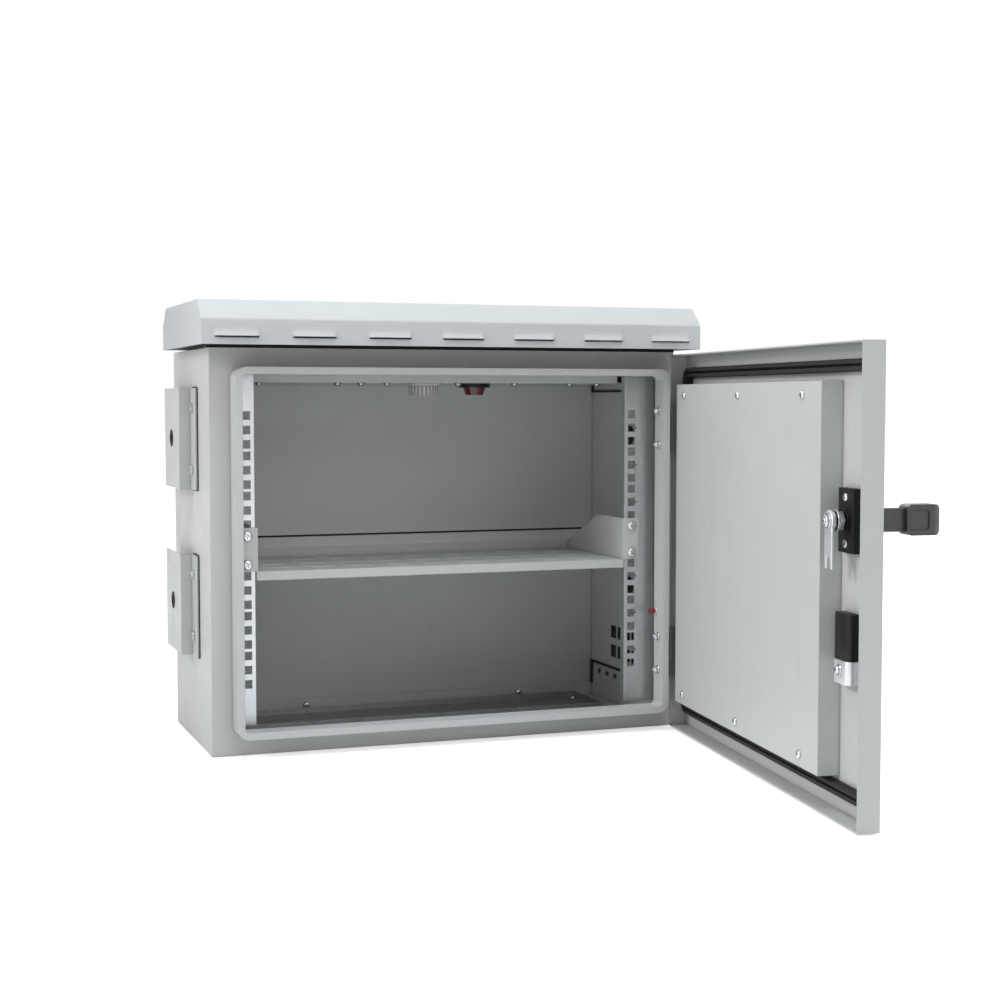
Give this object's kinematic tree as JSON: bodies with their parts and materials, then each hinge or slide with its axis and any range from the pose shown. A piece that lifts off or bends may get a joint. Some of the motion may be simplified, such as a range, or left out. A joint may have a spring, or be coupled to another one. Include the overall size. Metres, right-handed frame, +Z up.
{
  "type": "roadside utility cabinet",
  "caption": "Wall and pole cabinet of painted sheet steel with a rain roof, rack rails, a shelf and a sealed door on hinges with a turning handle.",
  "frame": {"origin": "middle of the body's underside", "axes": "+Z up, -Y out of the door opening, +X towards the hinge side"},
  "size_m": [0.61, 0.7731, 0.4995],
  "materials": {
    "painted_sheet": "light grey textured powder coat",
    "painted_roof": "light grey textured powder coat",
    "galvanised_steel": "galvanised",
    "zinc_fastener": "zinc plated",
    "zinc_plate": "bright zinc plated",
    "black_plastic": "moulded",
    "dark_grey_casting": "dark grey satin coat on a casting",
    "black_rubber": "foam and moulded rubber",
    "light_grey_plastic": "moulded",
    "red_lens": "translucent moulding",
    "white_plastic": "moulded",
    "red_plastic": "moulded"
  },
  "bodies": {
    "cabinet": {"front_frame": "painted_sheet", "left_wall": "painted_sheet", "right_wall": "painted_sheet", "back_panel": "painted_sheet", "top_panel": "painted_sheet", "bottom_panel": "painted_sheet", "ceiling_panel": "painted_sheet", "roof": "painted_roof", "roof_support_left": "galvanised_steel", "roof_support_right": "galvanised_steel", "left_rail": "galvanised_steel", "right_rail": "galvanised_steel", "rail_screws": "zinc_fastener", "shelf": "painted_sheet", "shelf_screws": "zinc_fastener", "cage_nuts": "galvanised_steel", "bracket_left_high": "painted_sheet", "bracket_left_low": "painted_sheet", "bracket_right_high": "painted_sheet", "bracket_right_low": "painted_sheet", "bracket_pads": "black_rubber", "bracket_screws": "zinc_fastener", "gland_plate": "galvanised_steel", "gland_screws": "zinc_fastener", "floor_screws": "zinc_fastener", "ceiling_screws": "zinc_fastener", "breather_cap": "light_grey_plastic", "lamp_base": "black_plastic", "lamp_lens": "red_lens", "wall_plugs": "black_rubber", "vent_inserts": "black_plastic", "side_screws": "dark_grey_casting", "seam_strip": "black_rubber", "side_seal_high": "black_rubber", "side_seal_low": "black_rubber", "earth_stud": "white_plastic", "earth_cap": "red_plastic", "hinge_leaf_high": "zinc_plate", "hinge_leaf_low": "zinc_plate", "hinge_screws": "zinc_fastener", "hinge_pins": "zinc_fastener"},
    "door": {"door_panel": "painted_sheet", "door_gasket": "black_rubber", "door_leaf_high": "zinc_plate", "door_leaf_low": "zinc_plate", "inner_cover": "painted_sheet", "cover_screws": "zinc_fastener", "lock_housing": "black_plastic", "lock_screws": "zinc_fastener", "clamp_block": "black_plastic", "clamp_band": "zinc_plate", "clamp_screw": "zinc_fastener", "lock_base": "dark_grey_casting"},
    "spindle": {"spindle": "dark_grey_casting", "spindle_washer": "zinc_fastener", "cam_lever": "zinc_plate", "cam_bolt": "zinc_fastener"},
    "handle": {"handle": "dark_grey_casting", "handle_pin": "zinc_fastener"},
    "lock_cylinder": {"lock_cylinder": "black_plastic"}
  },
  "joints": [
    {"name": "door_hinge", "type": "hinge", "parent": "cabinet", "child": "door", "pos_m": [0.2692, -0.127, 0.225], "axis": [0, 0, 1], "range_deg": [-82.7, 31.5]},
    {"name": "handle_turn", "type": "hinge", "parent": "door", "child": "spindle", "pos_m": [0.23601, -0.59861, 0.2805], "axis": [-0.9919, 0.1271, 0], "range_deg": [0, 90]},
    {"name": "handle_lift", "type": "hinge", "parent": "spindle", "child": "handle", "pos_m": [0.25227, -0.60069, 0.2805], "axis": [0, 0, 1], "range_deg": [0, 90]},
    {"name": "lock_turn", "type": "hinge", "parent": "door", "child": "lock_cylinder", "pos_m": [0.24196, -0.59937, 0.1455], "axis": [0.9919, -0.1271, 0], "range_deg": [0, 90]}
  ]
}
